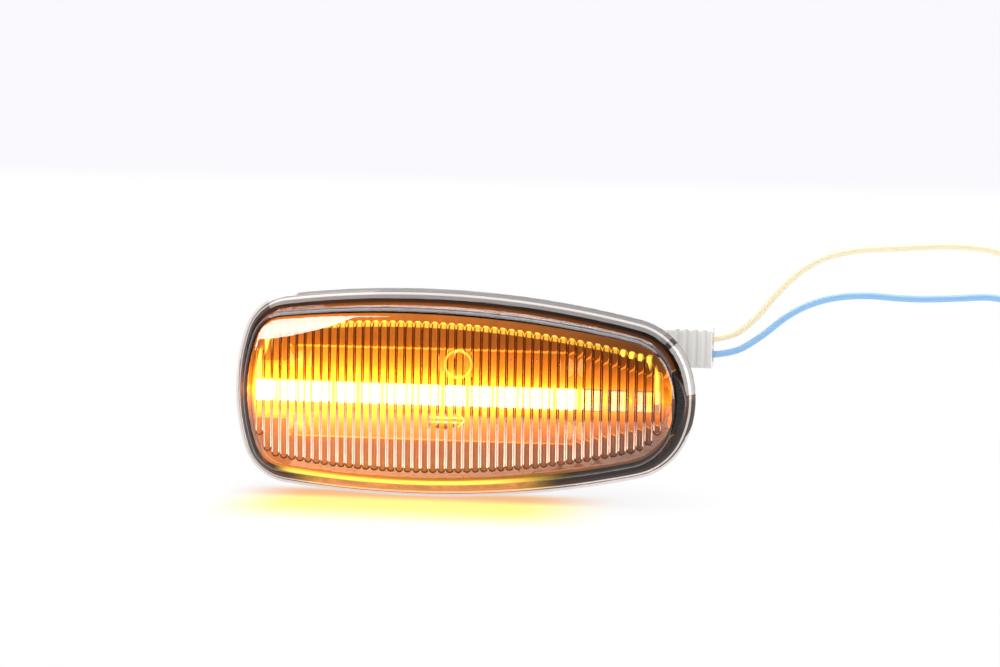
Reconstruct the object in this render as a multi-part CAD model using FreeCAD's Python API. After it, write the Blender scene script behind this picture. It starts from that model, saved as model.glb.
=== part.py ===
import FreeCAD, Part
import math
import os
from FreeCAD import Vector

# Side marker turn signal of a car, with its plug and two leads, in millimetres.
# +X runs along the lamp, +Z is up and the lens looks towards -Y.
# The plane y = 0 is the outside of the body panel, where the gasket seats.

# Outline of the lamp, seen from the front: eight tangent arcs
LENGTH = 110.0
HALF_HEIGHT = 24.7
PEAK_SHARE = -0.1         # where the outline is tallest, in lengths
TOP_SHARE = 0.48          # radii, for length and height together
LEFT_SHARE = 1.862
RIGHT_SHARE = 0.972
LEFT_CORNER_SHARE = 0.486
RIGHT_CORNER_SHARE = 0.648
LEAST_CORNER = 1.0
PEAK_X = PEAK_SHARE * LENGTH
TOP_RADIUS = TOP_SHARE * LENGTH ** 2 / HALF_HEIGHT
LEFT_RADIUS = LEFT_SHARE * HALF_HEIGHT
RIGHT_RADIUS = RIGHT_SHARE * HALF_HEIGHT
LEFT_CORNER = LEFT_CORNER_SHARE * HALF_HEIGHT
RIGHT_CORNER = RIGHT_CORNER_SHARE * HALF_HEIGHT
LEFT_END = -LENGTH / 2
RIGHT_END = LENGTH / 2

# Gasket
GASKET_THICK = 1.2
GASKET_INSET = 1.8
GASKET_WIDTH = 3.0

# Lens
RIM_EDGE = 0.8            # upright edge of the lens foot
RIM_SLOPE = 2.2           # how far the foot slopes in
FOOT_HEIGHT = 3.4
DOME_STEP = 0.4           # ledge between the foot and the dome
DOME_TAPER = 1.8
LENS_DEPTH = 13.4         # from the back of the foot to the crown
CROWN_LONG_RADIUS = 420.0
CROWN_CROSS_RADIUS = 150.0
DOME_FILLET = 2.5
LENS_WALL = 1.5
LENS_FACE_WALL = 3.0
RIM_WALL = 1.6            # wall of the foot that hides the housing's flange
FLUTE_RADIUS = 0.97
FLUTE_PITCH = 2.0
FLUTE_SIDE_GAP = 1.6      # from the cavity's left end to the first flute
FLUTE_WALL_GAP = 0.3      # from the cavity's wall to the outline that the flutes fill
FLUTE_END_GAP = 0.8       # from that outline to their ends
LUG_HEIGHT = 15.3
LUG_WIDTH = 3.6
LUG_RISE = 5.0            # from the front of the foot
LUG_ON_SLOPE = 0.4        # how far it stands out over the foot's slope
MARK_RAISED = 0.25
RING_RADIUS = 3.1
RING_STROKE = 0.45
RING_Z = 7.6
ARROW_X = -2.6
ARROW_Z = -5.6
ARROW_LENGTH = 7.0
ARROW_SPREAD = 1.1
ARROW_STROKE = 0.35
ARROW_HEAD = 2.0

# Housing
FIT = 0.1
FLANGE_THICK = 1.8
HOUSING_WALL = 1.6
NECK_INSET = 6.5
NECK_DEPTH = 5.0
BODY_INSET = 9.5
BODY_DEPTH = 15.0
MOUTH_FROM_END = 17.5     # from the lamp's right end to the socket's mouth
SOCKET_DEPTH = 12.0
BOX_LENGTH = 33.5
SOCKET_MOUTH = RIGHT_END - MOUTH_FROM_END
SOCKET_FLOOR = SOCKET_MOUTH - SOCKET_DEPTH
BOX_LEFT = SOCKET_MOUTH - BOX_LENGTH
CONNECTOR_Y = 21.0
CONNECTOR_Z = 10.7
PASSAGE_START = 4.0       # from the left end of the box
PASSAGE_END = 5.0         # from the socket's floor
PASSAGE_LEFT = BOX_LEFT + PASSAGE_START
PASSAGE_RIGHT = SOCKET_FLOOR - PASSAGE_END
PASSAGE_OVER_LEG = 1.8
HOOK_FROM_GASKET = 0.3    # so that it clears the gasket's inner edge
HOOK_THICK = 2.6
HOOK_HEIGHT = 12.0
PANEL_THICK = 1.2
POST_RADIUS = 2.4
LEFT_POST_IN = 17.0       # from the lamp's left end
RIGHT_POST_IN = 27.8      # from its right end
POST_Z = 7.3
POST_PLACES = [
    (x, z) for x in (LEFT_END + LEFT_POST_IN, RIGHT_END - RIGHT_POST_IN) for z in (POST_Z, -POST_Z)
]
BODY_ROUND = 1.5
BOX_ROUND = 1.0
RIB_COUNT = 5
RIB_PITCH = 9.0
RIB_FIRST_IN = 25.0       # from the lamp's left end
RIB_FIRST_X = LEFT_END + RIB_FIRST_IN
RIB_THICK = 1.0
RIB_HEIGHT = 5.0
VENT_X = -14.0
VENT_HOLE_RADIUS = 1.5
VENT_RADIUS = 3.6
VENT_THICK = 0.4

# Light board and what is on it
BOARD_THICK = 1.6
BOARD_LEFT_IN = 5.6       # from the lamp's ends to the board's
BOARD_RIGHT_IN = 7.4
BOARD_LEFT = LEFT_END + BOARD_LEFT_IN
BOARD_RIGHT = RIGHT_END - BOARD_RIGHT_IN
BOARD_HALF_HEIGHT = 10.5
BOARD_TAPER = 21.6        # length of its tapered right end
BOARD_END_HALF_HEIGHT = 5.2
BOARD_TONGUE = 9.0        # length of its narrow left end
BOARD_TONGUE_HALF_HEIGHT = 6.6
BOARD_CORNER = 1.5
BOARD_GAP = 0.6           # to the lens wall around it
BOARD_LEDGE = 1.0         # rim of the housing's face that the board lies on
LED_COUNT = 15
LED_SIZE = 5.0
LED_LEFT_IN = 0.5         # from the board's ends to the row's
LED_RIGHT_IN = 0.92
LED_FIRST_X = BOARD_LEFT + LED_LEFT_IN + LED_SIZE / 2
LED_LAST_X = BOARD_RIGHT - LED_RIGHT_IN - LED_SIZE / 2
LED_PITCH = (LED_LAST_X - LED_FIRST_X) / (LED_COUNT - 1)
LED_THICK = 1.6
LED_WINDOW = 4.1
LED_WINDOW_DEPTH = 0.6
LED_WINDOW_CORNER = 0.9
DIE_SIZE = 0.55
DIE_THICK = 0.2
DIE_PITCH = 1.15
SCREW_RADIUS = 1.1
SCREW_HEAD_RADIUS = 2.1
SCREW_HEAD_THICK = 1.3
SCREW_LENGTH = 7.0
SCREW_RECESS = 0.7
RESISTOR_COUNT = 5
RESISTOR_FROM_LEFT_POST = 10.0
RESISTOR_FROM_RIGHT_POST = 7.2
RESISTOR_FIRST_X = LEFT_END + LEFT_POST_IN + RESISTOR_FROM_LEFT_POST
RESISTOR_LAST_X = RIGHT_END - RIGHT_POST_IN - RESISTOR_FROM_RIGHT_POST
RESISTOR_PITCH = (RESISTOR_LAST_X - RESISTOR_FIRST_X) / (RESISTOR_COUNT - 1)
RESISTOR_Z = -6.2
RESISTOR_LONG = 3.2
RESISTOR_WIDE = 1.6
RESISTOR_THICK = 0.6
CHIP_X = -8.0
CHIP_LONG = 4.9
CHIP_WIDE = 3.9
CHIP_THICK = 1.5
CHIP_LEGS = 4
CHIP_LEG_PITCH = 1.27
CHIP_LEG = 0.4
CHIP_LEG_REACH = 1.0
DIODE_X = 2.0
DIODE_LONG = 4.6
DIODE_WIDE = 2.6
DIODE_THICK = 2.1
CAPACITOR_IN = 22.0       # from the lamp's right end
CAPACITOR_X = RIGHT_END - CAPACITOR_IN
CAPACITOR_RADIUS = 3.15
CAPACITOR_TALL = 5.4
CAPACITOR_FOOT = 6.6
CAPACITOR_FOOT_THICK = 0.8

# Terminal pins, plug, crimps and wire seals
PIN_SIZE = 0.8
PIN_PITCH = 3.8
PIN_LEG_GAP = 7.5         # from the socket's floor to the lower pin's leg
PIN_LEG_APART = 6.0
PIN_LEG_X = (SOCKET_FLOOR - PIN_LEG_GAP - PIN_LEG_APART, SOCKET_FLOOR - PIN_LEG_GAP)
PIN_LEG_Z = 8.6
PIN_REACH = 9.0           # into the socket
PIN_TIP = SOCKET_FLOOR + PIN_REACH
POTTING_THICK = 3.0
PLUG_NOSE_GAP = 2.0       # to the socket's floor
PLUG_OUT = 19.5           # behind the socket's mouth
PLUG_NOSE = SOCKET_FLOOR + PLUG_NOSE_GAP
PLUG_BACK = SOCKET_MOUTH + PLUG_OUT
PLUG_DEEP = 9.0           # along Y
PLUG_TALL = 8.0           # along Z
COLLAR_GROWTH = 0.7
COLLAR_GAP = 0.5
PLUG_EDGE = 0.8
GRIP_COUNT = 4
GRIP_PITCH = 2.2
GRIP_DEPTH = 0.4
NOSE_WALL = 2.0
CAVITY_FRONT = PLUG_NOSE + NOSE_WALL
CRIMP_BOX = 2.3
CRIMP_BOX_LENGTH = 8.0
CRIMP_BARREL_RADIUS = 1.05
CRIMP_IN = 4.0            # from the plug's back
CRIMP_BACK = PLUG_BACK - CRIMP_IN
PLAY = 0.1
SEAL_LENGTH = 3.4
SEAL_RADIUS = 1.7
SEAL_RIB = 0.15
LATCH_WIDTH = 4.4
LATCH_THICK = 1.0
LATCH_OVER = 4.8          # how far the latch reaches over the socket
LATCH_BEHIND = 7.0        # and how far behind its mouth it starts
LATCH_FRONT = SOCKET_MOUTH - LATCH_OVER
LATCH_ROOT = SOCKET_MOUTH + LATCH_BEHIND
LATCH_HOOK = 1.1
LATCH_LIFT = 1.1
RAMP_LENGTH = 1.5

# Spring clip at the left end, and its screw
CLIP_THICK = 0.5
CLIP_WIDTH = 9.0
CLIP_ROOT_IN = 22.0       # from the lamp's left end
CLIP_SCREW_IN = 17.0
CLIP_ROOT_X = LEFT_END + CLIP_ROOT_IN
CLIP_SCREW_X = LEFT_END + CLIP_SCREW_IN
CLIP_BEND = 1.4
CLIP_CREST_Y = 7.0
CLIP_LIP_Y = 1.7
CLIP_OUT = 2.0
CLIP_SCREW_RADIUS = 1.3
CLIP_HEAD_RADIUS = 2.6
CLIP_HEAD_THICK = 1.6
CLIP_BOSS_RADIUS = 3.0

# Leads: the route of each wire's middle behind its crimp, then a bare tinned end.
# X from the crimp's back, Y from the connector's middle, Z from the floor that
# the lamp stands on.
LEAD_DIAMETER = 1.6
TIP_RADIUS = 0.5
TIP_LENGTH = 6.0
LEAD_EXIT = 8.0           # straight stretch behind the crimp
ON_FLOOR = LEAD_DIAMETER / 2
LEADS = {
    "yellow": [
        (14.5, 0.8, 42.9),
        (20.0, 2.0, 50.1),
        (27.0, 3.8, 56.3),
        (36.0, 5.8, 59.3),
        (48.0, 8.2, 59.9),
        (61.0, 10.6, 60.7),
        (72.0, 12.6, 59.5),
        (81.0, 14.4, 54.1),
        (86.5, 15.8, 44.9),
        (89.2, 17.0, 33.7),
        (91.0, 18.0, 21.7),
        (92.5, 21.5, 11.4),
        (94.0, 29.6, 3.6),
        (95.5, 39.8, ON_FLOOR),
        (97.0, 50.0, ON_FLOOR),
    ],
    "blue": [
        (15.5, 0.8, 38.1),
        (22.0, 2.0, 43.9),
        (30.0, 3.8, 47.5),
        (39.5, 5.8, 48.6),
        (50.0, 7.8, 47.6),
        (61.0, 9.8, 47.9),
        (71.5, 11.6, 48.7),
        (79.5, 13.0, 45.1),
        (84.0, 14.2, 36.5),
        (85.6, 15.4, 25.7),
        (86.0, 17.0, 15.2),
        (86.8, 22.6, 6.4),
        (87.8, 32.0, ON_FLOOR),
        (88.8, 41.4, ON_FLOOR),
    ],
}
SHORTEST_SHARE = 0.45     # of the shorter run beside a bend, taken by its arc

# Planes along Y that several pieces share
FOOT_BACK = -GASKET_THICK
FLANGE_FRONT = FOOT_BACK - FLANGE_THICK
FOOT_FRONT = FOOT_BACK - FOOT_HEIGHT
CROWN_Y = FOOT_BACK - LENS_DEPTH
BOARD_FRONT = FLANGE_FRONT - BOARD_THICK
FLUTE_CROWN_Y = CROWN_Y + LENS_FACE_WALL
BOX_BACK = CONNECTOR_Y + PLUG_DEEP / 2 + FIT + HOUSING_WALL
BOX_FRONT = BODY_DEPTH - HOUSING_WALL
BOX_HALF = PLUG_TALL / 2 + FIT + HOUSING_WALL
BOX_TOP = CONNECTOR_Z + BOX_HALF
BOX_BOTTOM = CONNECTOR_Z - BOX_HALF


def meeting(centre, radius, other, other_radius, side):
    """Where two circles meet above the middle line, the one further to that side."""
    gap = math.dist(centre, other)
    along = (radius ** 2 - other_radius ** 2 + gap ** 2) / (2 * gap)
    off = math.sqrt(max(radius ** 2 - along ** 2, 0.0))
    ux = (other[0] - centre[0]) / gap
    uz = (other[1] - centre[1]) / gap
    found = []
    for sign in (1, -1):
        x = centre[0] + along * ux - sign * off * uz
        z = centre[1] + along * uz + sign * off * ux
        found.append((x, z))
    upper = [p for p in found if p[1] >= 0] or found
    return max(upper, key=lambda p: side * p[0])


def past(centre, through, radius):
    """The point of a circle on the line from its centre through another point."""
    reach = math.dist(centre, through)
    x = centre[0] + (through[0] - centre[0]) * radius / reach
    z = centre[1] + (through[1] - centre[1]) * radius / reach
    return x, z


def outline(inset, y):
    """The lamp's outline, drawn in by inset, as a closed wire in the plane y."""
    top_radius = TOP_RADIUS - inset
    left_radius = LEFT_RADIUS - inset
    right_radius = RIGHT_RADIUS - inset
    top = (PEAK_X, HALF_HEIGHT - TOP_RADIUS)
    left = (LEFT_END + LEFT_RADIUS, 0.0)
    right = (RIGHT_END - RIGHT_RADIUS, 0.0)
    left_round = max(LEFT_CORNER - inset, LEAST_CORNER)
    right_round = max(RIGHT_CORNER - inset, LEAST_CORNER)
    left_corner = meeting(top, top_radius - left_round, left, left_radius - left_round, -1)
    right_corner = meeting(top, top_radius - right_round, right, right_radius - right_round, 1)
    ends = [
        past(left, left_corner, left_radius),
        past(top, left_corner, top_radius),
        past(top, right_corner, top_radius),
        past(right, right_corner, right_radius),
    ]
    middles = [
        arc_middle(left_corner, left_round, ends[0], ends[1]),
        arc_middle(top, top_radius, ends[1], ends[2]),
        arc_middle(right_corner, right_round, ends[2], ends[3]),
    ]
    path = [(ends[i], middles[i], ends[i + 1]) for i in range(3)]
    path.append((ends[3], (RIGHT_END - inset, 0.0), (ends[3][0], -ends[3][1])))
    for a, m, b in reversed(path[:3]):
        path.append(((b[0], -b[1]), (m[0], -m[1]), (a[0], -a[1])))
    path.append(((ends[0][0], -ends[0][1]), (LEFT_END + inset, 0.0), ends[0]))
    edges = []
    for points in path:
        a, m, b = [Vector(x, y, z) for x, z in points]
        edges.append(Part.Arc(a, m, b).toShape())
    return Part.Wire(edges)


def arc_middle(centre, radius, a, b):
    """The point halfway along the arc from a to b."""
    return past(centre, ((a[0] + b[0]) / 2, (a[1] + b[1]) / 2), radius)


def prism(inset, front, back):
    """The outline drawn in by inset, filled from the plane front to the plane back."""
    return Part.Face(outline(inset, front)).extrude(Vector(0, back - front, 0))


def tapered(back_inset, back, front_inset, front):
    """The outline as a plug that narrows from the plane back to the plane front."""
    wires = [outline(back_inset, back), outline(front_inset, front)]
    return Part.makeLoft(wires, True, True)


def box(low, high):
    size = [b - a for a, b in zip(low, high)]
    return Part.makeBox(*size, Vector(*low))


def rod(radius, start, end):
    start = Vector(*start)
    run = Vector(*end) - start
    return Part.makeCylinder(radius, run.Length, start, run)


def rounded_block(low, high, radius, axis):
    """A block whose four edges along one axis are rounded."""
    block = box(low, high)
    chosen = []
    for edge in block.Edges:
        run = edge.Vertexes[1].Point - edge.Vertexes[0].Point
        if abs(abs(run.dot(axis)) - run.Length) < 1e-6:
            chosen.append(edge)
    return block.makeFillet(radius, chosen)


def joined(shape, others):
    return shape.fuse(others).removeSplitter()


def rounded_path(corners, bend=None):
    """Straight runs joined by tangent arcs, and the arcs' radii, as large as fits or given."""
    edges, radii = [], []
    last = corners[0]
    for before, corner, after in zip(corners, corners[1:], corners[2:]):
        a = before - corner
        b = after - corner
        half_turn = (math.pi - a.getAngle(b)) / 2
        radius = bend or SHORTEST_SHARE * min(a.Length, b.Length) / math.tan(half_turn)
        reach = radius * math.tan(half_turn)
        a.normalize()
        b.normalize()
        start = corner + a * reach
        end = corner + b * reach
        inward = a + b
        inward.normalize()
        middle = corner + inward * (radius / math.cos(half_turn) - radius)
        edges.append(Part.LineSegment(last, start).toShape())
        edges.append(Part.Arc(start, middle, end).toShape())
        radii.append(radius)
        last = end
    edges.append(Part.LineSegment(last, corners[-1]).toShape())
    return edges, radii


def save(name, shape):
    solids = shape.Solids
    shape = solids[0] if len(solids) == 1 else Part.makeCompound(solids)
    if not shape.isValid():
        print("not valid:", name)
    shape.exportStep(f"parts/{name}.step")
    print(f"{name}: {len(solids)} solid, {shape.Volume:.2f} mm3")


# Gasket


def seal_gasket():
    inner = GASKET_INSET + GASKET_WIDTH
    return prism(GASKET_INSET, FOOT_BACK, 0.0).cut(prism(inner, FOOT_BACK, 0.0))


# Lens


def crown(raised):
    """A barrel whose near side is the lens face, raised by a little for its marks."""
    y = CROWN_Y - raised
    half = math.asin(LENGTH / CROWN_LONG_RADIUS)
    side = CROWN_LONG_RADIUS * math.sin(half)
    dip = CROWN_LONG_RADIUS * (1 - math.cos(half))
    axis_y = y + CROWN_CROSS_RADIUS
    far = axis_y + CROWN_CROSS_RADIUS
    left = Vector(-side, far - dip, 0)
    right = Vector(side, far - dip, 0)
    arc = Part.Arc(left, Vector(0, far, 0), right).toShape()
    inner = Part.makePolygon([right, Vector(side, axis_y, 0), Vector(-side, axis_y, 0), left])
    face = Part.Face(Part.Wire([arc] + inner.Edges))
    return face.revolve(Vector(0, axis_y, 0), Vector(1, 0, 0), 360)


def flute_plane_y(x):
    """The inner side of the lens face, which curves along the lamp only."""
    inner_radius = CROWN_LONG_RADIUS - LENS_FACE_WALL
    return FLUTE_CROWN_Y + inner_radius - math.sqrt(inner_radius ** 2 - x ** 2)


def cavity_inset():
    return RIM_SLOPE + DOME_STEP + LENS_WALL


def lens_cavity():
    inner_radius = CROWN_LONG_RADIUS - LENS_FACE_WALL
    start = cavity_inset()
    space = tapered(start, FOOT_BACK, start + DOME_TAPER, CROWN_Y)
    height = 2 * (HALF_HEIGHT + LENS_WALL)
    foot = Vector(0, FLUTE_CROWN_Y + inner_radius, -height / 2)
    drum = Part.makeCylinder(inner_radius, height, foot, Vector(0, 0, 1))
    return space.common(drum)


def flute(x, half):
    """One upright half-round rib with round ends, whose middle lies on the inner face."""
    y = flute_plane_y(x)
    straight = max(half - FLUTE_RADIUS, FLUTE_RADIUS)
    slant = FLUTE_RADIUS * math.sqrt(0.5)
    top = Vector(x, y, straight + FLUTE_RADIUS)
    bottom = Vector(x, y, -straight - FLUTE_RADIUS)
    high = Vector(x + FLUTE_RADIUS, y, straight)
    low = Vector(x + FLUTE_RADIUS, y, -straight)
    upper = Part.Arc(high, Vector(x + slant, y, straight + slant), top).toShape()
    lower = Part.Arc(bottom, Vector(x + slant, y, -straight - slant), low).toShape()
    side = Part.LineSegment(low, high).toShape()
    middle = Part.LineSegment(top, bottom).toShape()
    face = Part.Face(Part.Wire([lower, side, upper, middle]))
    return face.revolve(Vector(x, y, 0), Vector(0, 0, 1), 360)


def flutes():
    """Ribs side by side from the cavity's left end, each as tall as the outline lets it be."""
    inset = cavity_inset() + DOME_TAPER + FLUTE_WALL_GAP
    edge = outline(inset, 0.0)
    made = []
    x = LEFT_END + inset + FLUTE_SIDE_GAP
    while x < RIGHT_END - inset:
        line = Part.makeLine(Vector(x, 0, 0), Vector(x, 0, HALF_HEIGHT))
        _, points, _ = edge.distToShape(line)
        half = max(p[1].z for p in points) - FLUTE_END_GAP
        if half > 2 * FLUTE_RADIUS:
            made.append(flute(x, half))
        x += FLUTE_PITCH
    return made


def end_lug():
    """The D-shaped boss that stands on the foot against the right end of the dome."""
    radius = ((LUG_HEIGHT / 2) ** 2 + LUG_WIDTH ** 2) / (2 * LUG_WIDTH)
    right = RIGHT_END - RIM_SLOPE + LUG_ON_SLOPE
    front = FOOT_FRONT - LUG_RISE
    disc = rod(radius, (right - radius, front, 0), (right - radius, FLANGE_FRONT, 0))
    low = (right - LUG_WIDTH, front, -LUG_HEIGHT)
    return disc.common(box(low, (right, FLANGE_FRONT, LUG_HEIGHT)))


def stroke(x0, z0, x1, z1, width):
    """A straight bar, as deep as the lens, between two points of the lens face."""
    run = Vector(x1 - x0, 0, z1 - z0)
    bar = Part.makeBox(run.Length, LENS_DEPTH, width, Vector(0, CROWN_Y - 1, -width / 2))
    bar.rotate(Vector(0, 0, 0), Vector(0, -1, 0), math.degrees(math.atan2(run.z, run.x)))
    bar.translate(Vector(x0, 0, z0))
    return bar


def moulded_marks():
    """A plain ring and a plain arrow that stand a little proud of the lens face."""
    ring = rod(RING_RADIUS, (0, CROWN_Y - 1, RING_Z), (0, CROWN_Y + LENS_DEPTH, RING_Z))
    hole = rod(RING_RADIUS - RING_STROKE, (0, CROWN_Y - 2, RING_Z), (0, 0, RING_Z))
    marks = [ring.cut(hole)]
    tip = ARROW_X + ARROW_LENGTH / 2
    start = ARROW_X - ARROW_LENGTH / 2
    for sign in (1, -1):
        z = ARROW_Z + sign * ARROW_SPREAD / 2
        marks.append(stroke(start, z, tip - ARROW_SPREAD / 2, z, ARROW_STROKE))
        back = tip - ARROW_HEAD
        marks.append(stroke(back, ARROW_Z + sign * ARROW_HEAD * 0.7, tip, ARROW_Z, ARROW_STROKE))
    proud = crown(MARK_RAISED).common(marks[0].fuse(marks[1:]))
    depth = CROWN_Y + LENS_FACE_WALL / 2
    near = box((-LENGTH, CROWN_Y - 5, -LENGTH), (LENGTH, depth, LENGTH))
    return proud.common(near)


def dome():
    start = RIM_SLOPE + DOME_STEP
    body = tapered(start, FOOT_BACK, start + DOME_TAPER, CROWN_Y - 1).common(crown(0.0)).Solids[0]
    front_edges = []
    for edge in body.Edges:
        if edge.BoundBox.YMax < FOOT_FRONT and edge.BoundBox.YLength < LENS_DEPTH / 2:
            front_edges.append(edge)
    return body.makeFillet(DOME_FILLET, front_edges)


def outer_lens():
    edge_front = FOOT_BACK - RIM_EDGE
    foot = prism(0.0, edge_front, FOOT_BACK)
    slope = tapered(0.0, edge_front, RIM_SLOPE, FOOT_FRONT)
    whole = joined(dome(), [foot, slope, end_lug()])
    recess = prism(RIM_WALL, FLANGE_FRONT, FOOT_BACK)
    hollow = whole.cut([recess, lens_cavity()])
    return joined(hollow, flutes() + moulded_marks().Solids)


def board_outline(inset, y):
    """A narrow tongue at the left, full height, then a taper to the right end, drawn in by inset."""
    step = BOARD_LEFT + BOARD_TONGUE + inset
    upper = [
        (BOARD_LEFT + inset, BOARD_TONGUE_HALF_HEIGHT - inset),
        (step, BOARD_TONGUE_HALF_HEIGHT - inset),
        (step, BOARD_HALF_HEIGHT - inset),
        (BOARD_RIGHT - BOARD_TAPER, BOARD_HALF_HEIGHT - inset),
        (BOARD_RIGHT - inset, BOARD_END_HALF_HEIGHT - inset),
    ]
    corners = upper + [(x, -z) for x, z in reversed(upper)]
    points = [Vector(x, y, z) for x, z in corners]
    return Part.makePolygon(points + points[:1])


# Housing


def cut_through_floor(x, z, radius):
    return rod(radius, (x, BODY_DEPTH - 2 * HOUSING_WALL, z), (x, BODY_DEPTH + 1, z))


def posts():
    floor_y = BODY_DEPTH - HOUSING_WALL
    made = []
    for x, z in POST_PLACES:
        made.append(rod(POST_RADIUS, (x, FLANGE_FRONT, z), (x, floor_y, z)))
    return made


def post_holes():
    depth = FLANGE_FRONT + SCREW_LENGTH
    return [rod(SCREW_RADIUS, (x, FLANGE_FRONT, z), (x, depth, z)) for x, z in POST_PLACES]


def hook():
    """The rigid lip at the right end, which goes behind the panel's edge."""
    outer = GASKET_INSET + GASKET_WIDTH + HOOK_FROM_GASKET
    reach = prism(outer, PANEL_THICK, PANEL_THICK + HOOK_THICK)
    left = RIGHT_END - NECK_INSET - HOUSING_WALL
    low = (left, 0, -HOOK_HEIGHT / 2)
    high = (RIGHT_END, NECK_DEPTH, HOOK_HEIGHT / 2)
    return reach.common(box(low, high))


def rounded_body():
    """The deep part of the housing, rounded along its rear edge."""
    body = prism(BODY_INSET, FLANGE_FRONT, BODY_DEPTH)
    rear = [e for e in body.Edges if e.BoundBox.YMin > BODY_DEPTH - BODY_ROUND]
    return body.makeFillet(BODY_ROUND, rear)


def step_ribs():
    """Upright webs across the step between the neck and the body, above and below."""
    webs = []
    for i in range(RIB_COUNT):
        x = RIB_FIRST_X + i * RIB_PITCH
        webs.append(box((x, 0, -HALF_HEIGHT), (x + RIB_THICK, NECK_DEPTH + RIB_HEIGHT, HALF_HEIGHT)))
    slope = tapered(BODY_INSET, NECK_DEPTH + RIB_HEIGHT, NECK_INSET, NECK_DEPTH)
    return slope.common(Part.makeCompound(webs)).Solids


def latch_ramp():
    start = LATCH_FRONT + LATCH_HOOK + FIT
    low = (start, CONNECTOR_Y - LATCH_WIDTH / 2, BOX_BOTTOM - LATCH_LIFT + FIT)
    high = (start + RAMP_LENGTH, CONNECTOR_Y + LATCH_WIDTH / 2, BOX_BOTTOM + HOUSING_WALL / 2)
    return box(low, high)


def pin_hole(z):
    half = PIN_SIZE / 2
    low = (SOCKET_FLOOR - 2 * HOUSING_WALL, CONNECTOR_Y - half, z - half)
    high = (SOCKET_FLOOR + 1, CONNECTOR_Y + half, z + half)
    return box(low, high)


def lamp_housing():
    neck_inner = NECK_INSET + HOUSING_WALL
    body_inner = BODY_INSET + HOUSING_WALL
    floor_y = BODY_DEPTH - HOUSING_WALL
    flange = prism(RIM_WALL + FIT, FLANGE_FRONT, FOOT_BACK)
    neck = prism(NECK_INSET, FLANGE_FRONT, NECK_DEPTH)
    rear_box = rounded_block((BOX_LEFT, BOX_FRONT, BOX_BOTTOM), (SOCKET_MOUTH, BOX_BACK, BOX_TOP),
                             BOX_ROUND, Vector(1, 0, 0))
    parts = [neck, rounded_body(), rear_box, hook(), latch_ramp()]
    shell = joined(flange, parts + step_ribs())
    face_back = FLANGE_FRONT + HOUSING_WALL
    neck_space = prism(neck_inner, face_back, NECK_DEPTH - HOUSING_WALL)
    body_space = prism(body_inner, face_back, floor_y)
    under_board = Part.Face(board_outline(BOARD_LEDGE, FLANGE_FRONT))
    opening = under_board.extrude(Vector(0, HOUSING_WALL, 0))
    opening = opening.common(prism(neck_inner, FLANGE_FRONT, face_back))
    space_low = (BOX_LEFT + HOUSING_WALL, BODY_DEPTH, BOX_BOTTOM + HOUSING_WALL)
    space_high = (SOCKET_FLOOR - HOUSING_WALL, BOX_BACK - HOUSING_WALL, BOX_TOP - HOUSING_WALL)
    box_space = box(space_low, space_high)
    passage_top = PIN_LEG_Z + PASSAGE_OVER_LEG
    passage_low = (PASSAGE_LEFT, floor_y - 1, BOX_BOTTOM + HOUSING_WALL)
    passage = box(passage_low, (PASSAGE_RIGHT, BODY_DEPTH + 1, passage_top))
    deep = PLUG_DEEP / 2 + FIT
    tall = PLUG_TALL / 2 + FIT
    socket_low = (SOCKET_FLOOR, CONNECTOR_Y - deep, CONNECTOR_Z - tall)
    socket = box(socket_low, (SOCKET_MOUTH + 1, CONNECTOR_Y + deep, CONNECTOR_Z + tall))
    shell = shell.cut([opening, neck_space, body_space, box_space, passage, socket])
    boss = rod(CLIP_BOSS_RADIUS, (CLIP_SCREW_X, floor_y - CLIP_BOSS_RADIUS, 0),
               (CLIP_SCREW_X, floor_y, 0))
    shell = joined(shell, posts() + [boss])
    holes = post_holes() + [pin_hole(z) for z in pin_heights()]
    holes.append(cut_through_floor(VENT_X, 0, VENT_HOLE_RADIUS))
    screw_hole = rod(CLIP_SCREW_RADIUS, (CLIP_SCREW_X, floor_y - CLIP_BOSS_RADIUS, 0),
                     (CLIP_SCREW_X, BODY_DEPTH, 0))
    return shell.cut(holes + [screw_hole])


def vent_membrane():
    return rod(VENT_RADIUS, (VENT_X, BODY_DEPTH, 0), (VENT_X, BODY_DEPTH + VENT_THICK, 0))


# Light board


def light_board():
    plate = Part.Face(board_outline(0, BOARD_FRONT)).extrude(Vector(0, BOARD_THICK, 0))
    upright = []
    for edge in plate.Edges:
        if edge.BoundBox.YLength > BOARD_THICK / 2:
            upright.append(edge)
    plate = plate.makeFillet(BOARD_CORNER, upright)
    holes = []
    for x, z in POST_PLACES:
        holes.append(rod(SCREW_RADIUS + FIT, (x, BOARD_FRONT, z), (x, FLANGE_FRONT, z)))
    for x in PIN_LEG_X:
        holes.append(box(*pin_leg_corners(x, FLANGE_FRONT)))
    room = prism(cavity_inset() + BOARD_GAP, BOARD_FRONT, FLANGE_FRONT)
    return plate.common(room).cut(holes)


def led(x):
    half = LED_SIZE / 2
    front = BOARD_FRONT - LED_THICK
    package = box((x - half, front, -half), (x + half, BOARD_FRONT, half))
    w = LED_WINDOW / 2
    floor_y = front + LED_WINDOW_DEPTH
    window = rounded_block((x - w, front, -w), (x + w, floor_y, w),
                           LED_WINDOW_CORNER, Vector(0, 1, 0))
    dies = []
    for step in (-1, 0, 1):
        z = step * DIE_PITCH
        d = DIE_SIZE / 2
        dies.append(box((x - d, floor_y - DIE_THICK, z - d), (x + d, floor_y, z + d)))
    return joined(package.cut(window), dies)


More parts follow.
